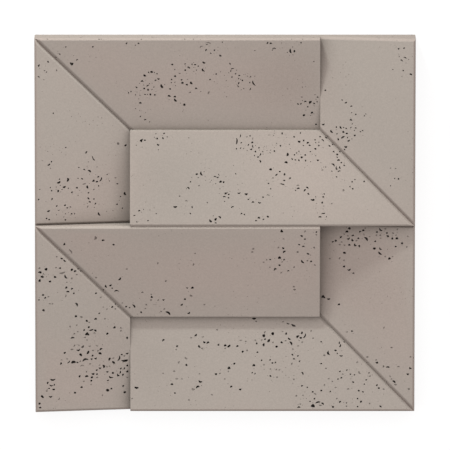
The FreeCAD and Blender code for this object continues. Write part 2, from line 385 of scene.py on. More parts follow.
        (-140.3, -262.9, 6.2, 3, -8), (-97.9, -187.8, 4.4, 2.4, 50), (-76, -197.4, 3.2, 2.6, 30),
        (-46.1, -180.4, 4.4, 2.6, 40), (-32.8, -191.6, 3.8, 2.8, -10), (-27.1, -191.6, 4, 3, 0),
        (-41.1, -198.1, 4.6, 2.6, -65), (-10.3, -195.4, 3.2, 2.6, 30), (0.3, -196.2, 3.6, 3.2, 0),
        (6.4, -197.5, 5.4, 3, 35), (19.7, -197.4, 3.4, 2.6, 20), (27.9, -206, 3.4, 2.8, 70),
        (-61, -227.1, 3.4, 2.8, 20), (6.4, -231.5, 4.2, 4, 0), (14.7, -224.7, 3.8, 2.4, 40),
        (-14.3, -241.4, 3.4, 3, 0), (-84, -257, 4, 2.8, 0), (-39.3, -253.4, 5.4, 2.8, -20),
        (-43.6, -260.9, 5.4, 3, 30), (-79.3, -271.1, 2.6, 2.2, 0), (9.7, -260.7, 3.6, 2.6, 30),
        (24, -265.3, 3.4, 2.8, 0), (46, -154.5, 5.6, 2.8, 0), (99.6, -162.4, 4, 1.8, -25),
        (108.2, -165.3, 7, 2.8, -30), (61.4, -181.2, 5.2, 3.6, 0), (75.7, -177.9, 4.8, 4, 70),
        (63.3, -186.4, 3, 2.2, 40), (50.3, -193.3, 3, 2.4, 60), (61, -195.3, 4.8, 3, 85),
        (69.5, -189, 5.6, 3.4, 45), (81.7, -198.3, 3.6, 3.2, 0), (89.6, -191.7, 3.8, 2.6, -30),
        (96.9, -177.9, 3.2, 2.8, 60), (101.5, -186.2, 4.4, 2.6, -30), (51.4, -206.9, 2.8, 2.2, 0),
        (58.1, -219.7, 2.8, 2, 60), (71.4, -219, 2.8, 2, 30), (45.7, -227.3, 4, 3.4, 0),
        (75, -223.9, 3.2, 2, -20), (79.9, -223.1, 2.8, 2, 60), (43, -239, 2.6, 1.8, 20),
        (47.4, -240.4, 2.4, 1.8, 60), (71.9, -244.3, 3.2, 2.4, -45), (121.9, -176.7, 4, 2.6, 50),
        (114.8, -182.2, 4.4, 3.6, 50), (120, -184.6, 3.6, 2.8, 10), (126.7, -181.7, 7.4, 2, 65),
        (105, -192.6, 6.2, 2.8, -58), (152.4, -190.7, 2.6, 2, 0), (163.2, -208.6, 5.8, 3.2, -65),
        (175, -204.2, 3.4, 2.6, 0), (177.9, -208.9, 2.4, 1.6, 60), (183.9, -212.9, 5.4, 1.8, 0),
        (106.9, -210.7, 3.2, 2.2, -45), (115.4, -212.9, 2.8, 2, 0), (109.3, -217.2, 3.4, 2, -15),
        (117.9, -221, 2.8, 2, 60), (152.4, -224.7, 2.6, 2, 0), (180.9, -192.2, 4, 1.8, 80),
        (182.8, -197, 4.6, 2.2, 65), (182.1, -237.1, 3, 1.8, 40), (193.1, -235, 2.4, 2, 40),
        (198.6, -241.4, 2.4, 2, 0), (205.3, -242.4, 2.2, 1.8, 60), (123.2, -239.8, 5, 2, -55),
        (184.3, -246.9, 2.8, 2.4, 0), (179, -249, 2.4, 2, 60), (202.9, -253.9, 3.4, 2, -20),
        (223.6, -250.4, 2.6, 2, 0), (220.7, -257.1, 2.2, 1.8, 0), (121.9, -259.7, 3, 2.2, 0),
        (130.3, -262.1, 2.2, 2, 0), (240.5, -258.6, 3, 2.4, 40), (243.6, -263.3, 3, 2.6, 0),
        (138.9, -269, 2.8, 2.4, 0), (152.4, -266.9, 3, 2.4, 0), (166.9, -268.6, 2.4, 2, 60),
        (211.9, -267.1, 3.2, 2.4, 0), (218.6, -269, 2.6, 2, -40), (141.7, -279.7, 2.8, 2.2, 0),
        (210, -279.6, 2.4, 2, 0), (134.7, -283.9, 2.6, 1.6, 0), (139.3, -290.8, 6, 4.6, 0),
        (147, -285, 7.5, 2.2, 12), (154.9, -287.3, 4.4, 2.4, -40), (182.1, -284.6, 3.6, 2.4, 40),
        (192.4, -286.4, 2, 1.6, 0), (192.4, -291.4, 2, 1.6, 0), (215.4, -284.3, 3.4, 2.8, 0),
        (210, -292.1, 2.6, 2, 30), (246.2, -292, 3.8, 2.2, -60), (171, -292.8, 3.2, 2.8, 0),
        (117, -292.8, 4.6, 2.2, 8),
        # on the bevels and in the grooves
        (-279, 298.5, 2, 1.1, 0), (-198, 298.5, 2.4, 1.1, 5), (-194.6, 298.5, 1.6, 1.1, 0),
        (-131.7, 298.5, 2, 1.1, 0), (-63.5, 298.5, 2.4, 1.1, -5), (-49.8, 298.5, 2.4, 1.1, -5),
        (104.8, 298.5, 1.6, 1.1, 0), (122.2, 298.5, 2, 1.1, 0), (-266.2, 268.4, 3, 2, -30),
        (-232.2, -70.2, 3, 1.9, 50), (-228.3, -74, 3, 1.8, -45), (-192.3, -105.3, 3.2, 2.4, 20),
        (-173.2, -129.1, 3, 1.8, 40), (-169.2, -133.2, 2.6, 1.6, 60), (159.4, 138.4, 4, 2.4, -45),
        (161.7, 140.7, 3, 1.8, -45), (169.9, 127.9, 3.4, 2.2, -45), (181, 116.6, 3.4, 2, -40),
        (188.9, -191.2, 3, 1.8, -45), (225.9, -223.5, 2, 1.4, 0), (256.2, -253.8, 2.2, 1.4, -45),
        (298.5, 94.8, 2, 1.1, 90), (298.5, -213.4, 1.8, 1.1, 90), (244.6, -298.5, 2.2, 1.1, 0),
    ],
    # shallow grey hollows, where the skin just closed over a bubble, in the same form
    "greyHollows": [
        # upper row
        (-26, 210.5, 5, 2.4, 90), (-38, 286.5, 4.5, 1.8, 40), (-26, 293, 7, 2, -10),
        (-222, 64.5, 6, 1.8, 15), (-217, 28, 4, 1.6, 70), (-168.5, 128, 4, 3.4, 0), (43.5, 137, 4, 1.4, 90),
        (68, 49.5, 4.4, 1.8, 0), (-61, 40.5, 4, 1.8, -5), (115, 64.5, 4, 2, 0), (187, 56.5, 3.4, 2.8, 80),
        (178, 91, 1.6, 1.2, 0),
        # lower row: left facet
        (-257, -76.3, 9, 2.4, 5), (-265.7, -49.6, 2.6, 2, 0), (-266.9, -66.9, 2.8, 2.2, 0),
        (-293, -67.1, 3.2, 2.6, 0), (-286.9, -76.5, 2.6, 1.6, 80), (-234.3, -79.3, 2.8, 2.2, 0),
        (-242, -85.3, 3.2, 2.4, 60), (-250, -91, 2.4, 1.8, 0), (-251.4, -113.3, 4.2, 1.8, 70),
        (-279, -113.6, 2.8, 2.2, 20), (-294, -118.3, 3, 2.4, 0), (-196.4, -117.1, 3, 2.2, 20),
        (-272.9, -125, 2.8, 2.2, 60), (-276.9, -124.7, 2.6, 2, 0), (-186.7, -136.4, 2.6, 2, 60),
        (-173.5, -136.4, 2.4, 2, 0), (-192.6, -132.9, 2.2, 1.8, 0), (-227.1, -148, 3.4, 2.8, 0),
        (-190, -151.9, 2.8, 2, 30), (-245, -162.6, 3.2, 2.2, 60), (-234.3, -160.7, 2.6, 2, 60),
        (-214.7, -156.9, 2.6, 2, 0), (-233.1, -171.4, 2.8, 1.8, -40), (-238.3, -174.6, 3, 2.2, 30),
        (-206.4, -174, 4, 1.6, -10), (-221.7, -181, 3.4, 1.8, 10), (-218.3, -185.4, 2.4, 2, 0),
        (-164.7, -167.4, 3.2, 2.2, 0), (-164.7, -171.9, 3, 2.2, 20), (-238.3, -193.6, 3.4, 2, 50),
        (-231.1, -193.3, 2.8, 2, -60), (-214, -195.3, 3.2, 2.4, 0), (-202.6, -195.4, 3.2, 2.2, 0),
        (-242.1, -199.7, 4.8, 2.4, 0), (-201.1, -203.3, 3, 2.2, 60), (-209, -202.6, 3.2, 2.2, 0),
        (-249.7, -214.7, 3, 1.8, -40), (-258.6, -216.1, 2.6, 1.8, 0), (-229, -219.4, 2.6, 1.8, 30),
        (-226.4, -226.1, 6, 2, 5), (-213.6, -223.9, 2.8, 2, 30), (-176.9, -216, 3, 2.2, 0),
        (-159.3, -212.9, 2.8, 2, 20), (-187, -229.4, 2.4, 2, 0), (-182.6, -229, 2.6, 2, -30),
        (-198.3, -226.4, 2.4, 1.8, 0), (-202.6, -246.1, 3, 2.2, 0), (-219.3, -236.4, 3, 1.6, 70),
        (-223.6, -251.9, 2.6, 2, 0), (-212.1, -257.4, 2.6, 1.8, 30), (-282.1, -265.7, 3, 2.4, 0),
        (-262.6, -279.3, 3.8, 2, 60), (-194.3, -275.3, 3, 1.4, 60), (-154.7, -247.9, 2.4, 1.8, 0),
        # upper facet
        (-204, -19, 5, 4, 80), (-243.2, -40.8, 8, 2, -55), (-155, -70.5, 3, 2.4, 30),
        (-204, -84.6, 2.6, 2.2, 60), (-130.6, -109.1, 3.2, 2.4, 0), (-116.5, -112.4, 2.6, 2, 0),
        (-117, -121.8, 2.8, 2.2, 40), (-105.6, -122.1, 3, 2.4, 60), (-106, -60.7, 4, 1.8, 80),
        (-162.3, -126.8, 2.8, 1.8, 20), (-124.5, -129.6, 3.2, 2.4, 0), (-126, -136, 2.6, 2, 0),
        (-101, -141, 2.6, 2, 0), (-53.7, -114.7, 3.8, 2.8, 0), (-96, -136.9, 3, 2.2, 30),
        (-32.6, -129.7, 2.8, 2, 0), (-49.6, -62.9, 4, 2.4, 80), (-47.1, -44.3, 2.8, 2, 0),
        (84.3, -34.6, 3, 2.2, 30), (90.3, -58.6, 2.4, 1.8, 60), (88.6, -76.4, 3, 2.2, 60),
        (92.4, -20.3, 3.2, 1.8, 0), (61, -59, 2.8, 2.2, 0), (70.9, -67.4, 2.6, 2, 0),
        (66.1, -55, 2.4, 1.8, 80), (44.6, -37.1, 3.4, 3, 0), (43.1, -41.9, 3.4, 2.8, 0),
        (126.4, -8, 3.6, 2.2, 60), (144.3, -13.6, 2.6, 2.2, 0), (140.7, -34.7, 3.2, 2.4, 30),
        (114.7, -42.3, 3.4, 2.6, 0), (135, -47.2, 2, 1.4, 0), (130, -56.4, 2.8, 2, 40),
        (141.9, -63.6, 2.8, 2, 0), (109, -67.4, 3, 2.2, 60), (108.9, -99.7, 3.4, 2.6, 0),
        (110, -104.7, 3.6, 2.8, 0),
        # right facet
        (188.3, -17, 2.4, 1.8, 0), (194.4, -19.2, 2.8, 2, 0), (207.9, -26.9, 3, 2, 30),
        (219.6, -16.4, 3, 1.8, -60), (228.6, -19.7, 2.4, 1.8, 0), (239.3, -17.1, 2.8, 2.2, 0),
        (245.3, -17.1, 2.8, 2.2, 20), (245.7, -21.9, 2.8, 1.8, 0), (265.3, -13.1, 3, 2, -20),
        (270, -16.2, 2.4, 1.8, 60), (253.3, -6.4, 3, 2.2, 0), (272.4, -6.6, 3, 2.2, 60),
        (221.5, -6.2, 2.6, 1.8, 0), (184.3, -29.6, 2.8, 2, 0), (181.4, -33.9, 3.2, 2, -20),
        (188.9, -34.7, 3, 2.2, 0), (165.7, -56.9, 2.6, 2, 0), (181.4, -56.1, 3, 2.2, 60),
        (188.3, -58.9, 2.8, 2, 0), (253.3, -51.1, 2.8, 2.2, 0), (264.6, -51, 3, 1.8, 0),
        (287.1, -34.7, 2.8, 2, 0), (288.6, -17.4, 2.6, 2, -40), (251.4, -166, 4, 2, 70),
        (263.6, -197.6, 3.2, 2.4, 0), (193.3, -174.7, 3, 1.8, 20), (225.5, -214, 3.4, 2.4, 0),
        (239.4, -218.4, 3, 2.2, 0), (251.1, -228.6, 3.6, 2.2, 80), (274.6, -227.9, 4, 1.8, 0),
        (293.5, -211.7, 3, 2.2, 0), (261.4, -244.3, 2.6, 2, 0), (263.6, -248.4, 2.6, 2, 0),
        (270, -257.6, 4, 2, 0), (291.1, -264, 3.6, 2.8, 0),
        # lower facet
        (-77.1, -202.9, 2.6, 1.8, 20), (-53.6, -184.3, 3, 2.4, 0), (-35, -183.1, 3.4, 2, 20),
        (-12.4, -171.7, 3, 2.4, 0), (-36.1, -201, 2.8, 2.2, 0), (0.3, -201, 2.4, 2, 0),
        (25, -188.6, 4.4, 1.6, 0), (32.9, -190, 2.6, 2, 20), (35, -204.3, 3, 2.4, 0),
        (-62.1, -216.7, 4.4, 2.6, -40), (-73.3, -223, 4, 2.4, 70), (-40.3, -241, 2.4, 2, 0),
        (-80.4, -236.7, 3.4, 2.4, 0), (-97.9, -240.3, 2.6, 2, 20), (5.4, -237.1, 2.4, 2, 60),
        (-7.9, -240.3, 3, 1.8, 20), (-0.4, -248.9, 2.6, 2, 0), (-76.4, -248.9, 4, 2.4, 0),
        (-68.3, -248.9, 2.8, 2, 0), (-50.6, -265.3, 5, 3.2, -20), (-57.1, -281.7, 3, 2.2, 0),
        (-20.7, -273.6, 3, 2.2, 0), (49.3, -158.4, 2.6, 2, 0), (91.9, -158.9, 3, 2.2, 30),
        (62.8, -175.7, 4, 2, 60), (58, -187.9, 2.8, 2.2, 30), (48.1, -188.3, 3, 2.4, 0),
        (76, -191.7, 2.6, 2.2, 0), (91, -174.6, 2.8, 1.6, -20), (95.7, -188.9, 3, 1.6, 20),
        (61.7, -226.7, 3, 2.2, 0), (82.6, -246, 3, 2.2, 0), (71.9, -233.3, 2.6, 2, 0),
        (81.4, -234.3, 2.8, 2.2, 30), (86, -234.6, 3.4, 2, 60), (122.4, -191.4, 3, 2.4, 0),
        (136.4, -173.6, 3, 1.8, 70), (139.6, -185, 2.6, 2, 0), (115.7, -197.1, 3.2, 2.4, 0),
        (107.4, -202.1, 2.8, 2.2, 0), (157.4, -211.9, 3, 2.4, 0), (105.7, -225, 4, 2, 70),
        (209.3, -222.6, 3, 2.2, 30), (212.6, -239.3, 6, 2.2, -60), (228, -239.4, 3, 2.2, 40),
        (229.6, -244.6, 3, 2.2, 20), (170, -252.9, 2.4, 2, 0), (164.3, -248.6, 3, 2, 30),
        (160, -232.4, 2.6, 2, 0), (109, -249.6, 3, 2.2, 0), (157.6, -258.6, 3.2, 2.4, 60),
        (175.3, -262.6, 3, 2.2, 0), (251.4, -264.9, 2.8, 2.2, 0), (195, -264.7, 3.4, 2.2, 20),
        (142.8, -272.3, 4.4, 2, -20), (112.9, -275.3, 3.2, 2.4, 60), (123.6, -274.6, 2.6, 2, 0),
        (177.1, -279.6, 2.6, 2, 30), (119.3, -288.1, 2.8, 2, 0), (151, -290.4, 4.4, 1.8, -5),
        (229, -287.4, 3, 2.2, 60), (-147, -279.7, 2.6, 2, 0), (186.4, -241.2, 2.4, 1.8, 0),
    ],
    # small pores of the upper row: x, y, width
    "dots": [
        (-250.5, 286, 2), (-208, 286, 2.4), (-260, 274, 2.2), (-233, 265, 2.4), (-203, 269, 1.2),
        (-238, 272, 1), (-136, 292, 2.4), (-141, 289, 1.6), (-120.3, 244, 2.2), (-111.3, 244, 1.6),
        (-107, 242, 2), (-119, 225.6, 1.6), (-128, 223.5, 1.4), (-134.5, 226, 1.2), (-112, 220, 1.8),
        (-115, 216, 1.6), (-152, 210.5, 2), (-138.5, 212, 1.2), (-141, 207, 1.6), (-134, 206.5, 1.6),
        (-126, 208, 2.2), (-122.3, 208, 1.6), (-136, 200.5, 1.2), (-141, 184.5, 1.5), (-134.5, 181.5, 1.2),
        (-133.5, 171.5, 2), (-119, 162.5, 1.5), (-63, 258, 2), (-47, 257, 2.6), (-42, 254.5, 2),
        (-45, 248, 1.6), (-49, 245.5, 1.2), (-79, 249, 1.6), (-71, 242.5, 1.7), (-84, 232.5, 2.2),
        (-68.5, 232, 2.4), (-59, 233, 1.4), (-84.5, 227.5, 1.6), (-79, 228, 1.5), (-78, 222.5, 1.2),
        (-23.5, 232.5, 2.4), (-14, 241.5, 2.4), (-7, 245, 1.2), (-17, 229, 1), (-95, 224, 1.2),
        (-38, 212.5, 1.4), (-70, 193.5, 1.3), (-88, 199.5, 1.1), (-4, 293.9, 1.8), (-11, 285.5, 1),
        (18, 248, 1.2), (6, 243.5, 1.2), (35.5, 238, 1.3), (40.5, 237, 1.8), (47, 238, 1.3),
        (29.5, 240.5, 1), (39, 227.5, 2), (29.5, 217.5, 1.6), (25.5, 215.5, 1.2), (2, 230.5, 1.2),
        (2.5, 204, 1.2), (47, 280, 1.6), (89, 292.5, 1.2), (98, 277, 1.4), (140, 262, 1.6), (122, 220, 1.3),
        (107, 273, 1.2), (106.5, 286, 1.5), (122, 197.6, 1.4), (140.5, 189, 1.2), (135, 173.5, 1.4),
        (142, 207.5, 1.5), (143.5, 200, 1.2), (145, 196, 2), (-284, 248, 1.6), (-281, 245.6, 1.8),
        (-285, 233.5, 1.3), (-251, 124, 2), (-215.5, 100, 1.2), (-273.5, 102, 2.2), (-275, 91.5, 1.3),
        (-230.5, 91.5, 1.8), (-202, 91.5, 1.2), (-232, 74, 1.6), (-260, 63.4, 1.4), (-247, 58.5, 1.8),
        (-275.5, 60.5, 1.8), (-266.3, 61, 1.4), (-273.5, 55.5, 2.2), (-292, 58, 1.4), (-199.5, 61, 2),
        (-207, 55.5, 1.8), (-215.5, 50.5, 2.2), (-232, 46.5, 1.2), (-206.5, 26.5, 1.2), (-273, 42, 2.6),
        (-249, 27, 2.4), (-244, 28.5, 2), (-262.5, 23.5, 1.8), (-242, 17.5, 2.2), (-237.5, 17.5, 1.8),
        (-252, 17.5, 1.4), (-266, 16.5, 1.2), (-254.5, 12.5, 1.2), (-186, 79, 1.8), (-173, 73, 1.8),
        (-182.5, 68.5, 1.7), (-170.5, 30.5, 2.4), (-162, 24, 2), (-177, 20.5, 1.2), (-187, 19.5, 1),
        (-140, 127, 1.3), (-111.3, 139.4, 1.2), (-105, 120, 1.3), (-109, 145, 1.5), (-128.5, 27, 1.3),
        (-108.5, 20.5, 1.6), (-118.5, 26, 1.2), (-121.5, 9.5, 2), (-139, 7.5, 1.8), (-98, 138, 2.6),
        (-91, 140, 1.6), (-57, 138.5, 1.3), (25.5, 131, 2), (34.5, 140, 1.6), (39.5, 141.5, 2),
        (18, 121.5, 2), (29.5, 122, 1.3), (35, 119, 1.3), (53.5, 123, 2.2), (59.5, 117, 1.8),
        (46.5, 111, 1.8), (75.5, 76, 1.8), (68.5, 67.5, 2.2), (72, 59, 1.8), (5.5, 45, 2.2),
        (-0.5, 39.5, 1.5), (30.5, 19, 2.2), (60.5, 11.5, 2.2), (-42, 76.5, 1.4), (-33, 86, 1.2),
        (-54.5, 70, 2), (-41, 64, 1.7), (-21.5, 72.4, 1.2), (-23.5, 69.5, 1.2), (-14.5, 67, 1.4),
        (-8, 59, 1.3), (17, 82.5, 1.8), (-71.5, 47.5, 1.8), (-52, 30.5, 2.4), (-54.5, 20.5, 2.2),
        (-28, 37.5, 1.8), (-18.5, 17, 1.3), (76.5, 142, 1.3), (81.5, 130, 1.4), (87.5, 126, 2.3),
        (78, 118, 2.5), (72, 119.4, 1.3), (71, 115, 1.5), (119, 146, 2), (123.5, 126.5, 1.8),
        (142, 135.5, 2), (143, 131, 1.6), (148, 131.8, 1.5), (148, 126.5, 2.2), (134.5, 117, 1.9),
        (116.5, 117.5, 1.8), (113, 115, 1.8), (109.5, 112, 2), (143, 110.5, 1.4), (111, 104, 2.2),
        (135, 101.5, 1.3), (101.5, 128.5, 1.4), (183.5, 99.8, 2.2), (188, 95.5, 2.2), (168.5, 86.5, 1.7),
        (159, 93, 1.5), (155.5, 93, 1.2), (205, 73.6, 1.8), (197, 62.5, 2), (111.4, 56.6, 1.8),
        (143, 47, 1.2), (156.5, 51, 2), (168.5, 36, 1.7), (160, 15.5, 1.6), (158, 214.5, 2.4),
        (184.5, 200, 2), (199.5, 180, 1.5), (206, 177.5, 2.2), (222, 178.5, 1.4), (219.5, 175.5, 1.8),
        (200.5, 162, 1.6), (187, 155.8, 1.8), (191, 154.5, 2.2), (198.5, 156.5, 1.8), (206, 155.5, 2.2),
        (204, 151.5, 1.5), (217, 151.8, 2), (273, 284, 2.4), (281.5, 285.5, 2.4), (274, 272, 1.5),
        (289, 267.5, 1.2), (264, 251, 1.5), (280.5, 249.5, 2.2), (278.5, 240, 1.2), (176.5, 145.5, 2),
        (193, 140, 2), (200, 138, 1.3), (267.5, 76.5, 1.8), (261, 64.5, 1.6), (261, 93, 1.6),
        (269, 92.5, 1.6),
    ],
}


def joined(*sets):
    # sets of pores as one set
    return {name: np.concatenate([one[name] for one in sets]) for name in sets[0]}


def chosen(pores, keep):
    # the pores of a set that are to be kept
    return {name: values[keep] for name, values in pores.items()}


def poreShapes(settings, place, length, width, turn, draw, faint=False):
    # One row for each pore. Slender pores bend more, to either side. Depth is the width times a steepness,
    # which is little in a faint hollow.
    count = len(length)
    steep = draw.uniform(*settings["hollowSteep" if faint else "poreSteep"], count)
    slender = np.clip(length / width - 1, 0, 2)
    return {
        "place": place,
        "long": length / 2,
        "wide": width / 2,
        "turn": turn,
        "bend": width * (settings["bend"] + settings["slenderBend"] * slender) * draw.choice([-1, 1], count),
        "wobble": draw.normal(0, settings["wobble"], (count, 3)),
        "phase": draw.uniform(0, 2 * math.pi, (count, 3)),
        "depth": np.minimum(width * steep, settings["deepest"]),
        "shade": draw.uniform(*settings["hollowShade" if faint else "poreShade"], count),
    }


def listedPores(settings, rows, draw, faint=False):
    # pores from rows of x, y, length, width and turn, with their sizes times a share
    rows = np.array(rows, float)
    size = rows[:, 2:4] * settings["poreShare"] * mm
    return poreShapes(settings, rows[:, :2] * mm, size[:, 0], size[:, 1], np.radians(rows[:, 4]), draw, faint)


def roundPores(settings, place, width, draw):
    # pores turned anyhow whose length and width are the given one times and over a stretch, the square root
    # of 1 plus the size of a bell curve
    stretch = np.sqrt(1 + np.abs(draw.normal(0, settings["stretch"], len(width))))
    turn = draw.uniform(0, math.pi, len(width))
    return poreShapes(settings, place, width * stretch, width / stretch, turn, draw)


def facePores(settings, draw):
    # the listed pores, hollows and dots, and tiny pores on a bell curve round them
    dots = np.array(settings["dots"]) * mm
    listed = joined(
        listedPores(settings, settings["pores"], draw),
        listedPores(settings, settings["greyHollows"], draw, faint=True),
        roundPores(settings, dots[:, :2], dots[:, 2] * settings["poreShare"], draw),
    )
    count = settings["tinyPores"]
    beside = draw.integers(len(listed["place"]), size=count)
    places = listed["place"][beside] + draw.normal(0, settings["tinyReach"], (count, 2))
    widths = settings["tinyWidth"] * draw.uniform(*settings["tinySpread"], count)
    return joined(listed, roundPores(settings, places, widths, draw))


def strayPores(settings, loop, density, draw):
    # pores strewn evenly over the box round an outline, their widths on a bell curve of the logarithm
    low, high = loop.min(0), loop.max(0)
    count = round(density * np.prod(high - low))
    widths = settings["strayWidth"] * np.exp(draw.normal(0, settings["straySpread"], count))
    widths = np.clip(widths, *settings["strayLimits"])
    return roundPores(settings, draw.uniform(low, high, (count, 2)), widths, draw)


def setDown(pores, along, aside):
    # points given along and across every pore, turned with it and moved to its place
    cosine, sine = np.cos(pores["turn"])[:, None], np.sin(pores["turn"])[:, None]
    turned = np.stack([along * cosine - aside * sine, along * sine + aside * cosine], axis=2)
    return pores["place"][:, None] + turned


def poreOutline(pores, share, count):
    # A count of points of every pore at a share of its radius: a wobbling ellipse, bent along its length by a
    # parabola. The wobble is a sum of three cosine waves.
    angles = np.linspace(0, 2 * math.pi, count, endpoint=False)
    waves = np.array([2, 3, 5])
    wobble = 1 + (pores["wobble"][:, None] * np.cos(waves * angles[:, None] + pores["phase"][:, None])).sum(2)
    across = share * wobble * np.cos(angles)
    aside = pores["wide"][:, None] * share * wobble * np.sin(angles) + pores["bend"][:, None] * across ** 2
    return setDown(pores, pores["long"][:, None] * across, aside)


def roomInside(points, loop):
    # distance of points to the nearest side of an outline, negative outside it by the even-odd rule
    start, side = loop, np.roll(loop, -1, axis=0) - loop
    offset = points[:, None] - start
    reach = np.clip((offset * side).sum(2) / (side * side).sum(1), 0, 1)
    distance = np.linalg.norm(offset - reach[..., None] * side, axis=2).min(1)
    crosses = (offset[..., 1] < 0) != (offset[..., 1] < side[:, 1])
    slope = np.divide(side[:, 0], side[:, 1], out=np.zeros(len(side)), where=side[:, 1] != 0)
    left = offset[..., 0] < offset[..., 1] * slope
    inside = (crosses & left).sum(1) % 2 == 1
    return np.where(inside, distance, -distance)


def poresMeet(pores, gap, count):
    # whether the covers of two pores, rings of points at shares of the radius, come nearer than the gap
    coverShares = (1.0, 0.7, 0.35)
    cover = np.concatenate([poreOutline(pores, share, count) for share in coverShares], axis=1)
    reach = np.linalg.norm(cover - pores["place"][:, None], axis=2).max(1)
    apart = np.linalg.norm(pores["place"][:, None] - pores["place"], axis=2)
    meet = np.tril(apart < reach[:, None] + reach + gap, -1)
    later, earlier = np.nonzero(meet)
    nearest = np.linalg.norm(cover[later][:, :, None] - cover[earlier][:, None], axis=3).min((1, 2))
    meet[later, earlier] = nearest < gap
    return meet


def seatedPores(settings, pores, loop):
    # keeps the pores whose whole outline lies inside the plate, and of two that meet the first one
    gap, count = settings["poreGap"], settings["rimPoints"]
    rims = poreOutline(pores, 1.0, count)
    room = roomInside(rims.reshape(-1, 2), loop).reshape(rims.shape[:2]).min(1)
    pores = chosen(pores, room > gap)
    meet = poresMeet(pores, gap, 2 * count)
    keep = np.ones(len(meet), bool)
    for row in range(len(meet)):
        keep[row] = not (meet[row] & keep).any()
    return chosen(pores, keep)


def softShell(settings):
    # copy of the panel with its triangles joined to plane faces and its raised edges rounded
    sameSpot, sameAngle = 1e-6, math.radians(0.5)
    shell = bmesh.new()
    shell.from_mesh(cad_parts["relief_panel"].data)
    bmesh.ops.remove_doubles(shell, verts=shell.verts, dist=sameSpot)
    bmesh.ops.dissolve_limit(shell, angle_limit=sameAngle, verts=shell.verts, edges=shell.edges)
    raisedAngle = math.radians(settings["edgeAngle"])
    raised = [edge for edge in shell.edges if edge.calc_face_angle_signed() > raisedAngle]
    bmesh.ops.bevel(shell, geom=raised, offset=settings["edgeRound"], offset_type="OFFSET",
                    segments=settings["edgeSteps"], profile=0.5, affect="EDGES")
    return shell


def facePlane(face, corners):
    # a plane face: its normal, two directions in it that make a right-handed set with the normal, its middle,
    # whether it faces up or down, and its outline in the two directions
    normal = np.array(face.normal)
    first = np.cross((0, 1, 0), normal) if abs(normal[1]) < 0.9 else np.cross((0, 0, 1), normal)
    first = first / np.linalg.norm(first)
    basis = np.stack([first, np.cross(normal, first)])
    origin = np.array(face.calc_center_median())
    return {
        "normal": normal,
        "basis": basis,
        "origin": origin,
        "facesUp": normal[2] > 0.5,
        "facesDown": normal[2] < -0.5,
        "loop": (corners - origin) @ basis.T,
    }


def lifted(plane, places, depth=0.0):
    # places in a plane as points in space, sunk below the plane by a depth
    return plane["origin"] + places @ plane["basis"] - depth * plane["normal"]


def platePores(settings, plane, onFace, draw):
    # on the face the pores seen from above, dropped onto the tilted plane, and elsewhere strewn ones
    normal = plane["normal"]
    if plane["facesUp"]:
        place = onFace["place"] - plane["origin"][:2]
        drop = -(place @ normal[:2]) / normal[2]
        pores = {**onFace, "place": np.column_stack([place, drop]) @ plane["basis"].T}
    else:
        density = settings["backPores" if plane["facesDown"] else "wallPores"]
        pores = strayPores(settings, plane["loop"], density, draw)
    return seatedPores(settings, pores, plane["loop"])


def plainPoints(settings, plane, pores, rims, draw):
    # points of a shaken grid, clear of the outline and the pores, that keep the triangles even
    step = settings["backStep" if plane["facesDown"] else "gridStep"]
    low, high = plane["loop"].min(0), plane["loop"].max(0)
    grid = np.stack(np.meshgrid(*[np.arange(start, end, step) for start, end in zip(low, high)]), axis=2)
    grid = grid.reshape(-1, 2)
    grid = grid + draw.uniform(-settings["gridShake"], settings["gridShake"], grid.shape) * step
    grid = grid[roomInside(grid, plane["loop"]) > settings["gridMargin"] * step]
    reach = np.linalg.norm(rims - pores["place"][:, None], axis=2).max(1)
    clear = np.linalg.norm(grid[:, None] - pores["place"], axis=2) > reach + settings["gridClear"]
    return grid[clear.all(1)]


def cutPlate(loop, rims, grid):
    # the outline, rims and plain points in one row, and the triangles between them outside the rims
    insideOnly, sameSpot = 1, 1e-5
    places = np.concatenate([loop, rims.reshape(-1, 2), grid])
    rimIds = len(loop) + np.arange(rims[..., 0].size).reshape(rims.shape[:2])
    outlines = [list(range(len(loop)))] + rimIds.tolist()
    cut = delaunay_2d_cdt([Vector(place) for place in places / mm], [], outlines, insideOnly, sameSpot)
    triangles, sources, owners = cut[2], cut[3], cut[5]
    source = np.array([ids[0] for ids in sources])
    plate = source[np.array([ids for ids, outline in zip(triangles, owners) if list(outline) == [0]])]
    return places, rimIds, plate


def bowlPoints(settings, plane, pores):
    # every pore's rings, which are its outline at shares of its radius, each sunk by a share of its depth,
    # and its lowest point
    count = settings["rimPoints"]
    rings = np.stack([poreOutline(pores, share, count) for share in settings["ringShares"]], axis=1)
    depth = pores["depth"][:, None, None, None] * np.array(settings["ringDepths"])[None, :, None, None]
    bottoms = poreOutline(pores, 0.0, 1)[:, 0]
    return lifted(plane, rings, depth), lifted(plane, bottoms, pores["depth"][:, None])


def bowlFaces(rimIds, ringIds, bottomIds):
    # the sides of every bowl, from ring to ring, and its floor, from the last ring to the lowest point
    levels = np.concatenate([rimIds[:, None], ringIds], axis=1)
    after = np.roll(levels, -1, axis=2)
    sides = np.stack([levels[:, :-1], after[:, :-1], after[:, 1:], levels[:, 1:]], axis=3)
    lowest = np.broadcast_to(bottomIds[:, None], rimIds.shape)
    floors = np.stack([levels[:, -1], after[:, -1], lowest], axis=2)
    return sides.reshape(-1, 4).tolist() + floors.reshape(-1, 3).tolist()


def skinTones(settings, points):
    # tone and warmth at every point: sums of bell curves round the stains, and a step of painted shade,
    # warmer and darker, at the outer edges
    stains = np.array(settings["stains"])
    distance = np.linalg.norm(points[:, None, :2] - stains[:, :2] * mm, axis=2)
    curve = np.exp(-(distance / (stains[:, 2] * mm)) ** 2)
    outside = np.abs(points[:, :2]).max(1) > cadBox[1][0] - settings["shadedEdgeBand"]
    tone = curve @ stains[:, 3] + settings["edgeShadeTone"] * outside
    warmth = curve @ stains[:, 4] + settings["edgeShadeWarmth"] * outside
    return tone, warmth


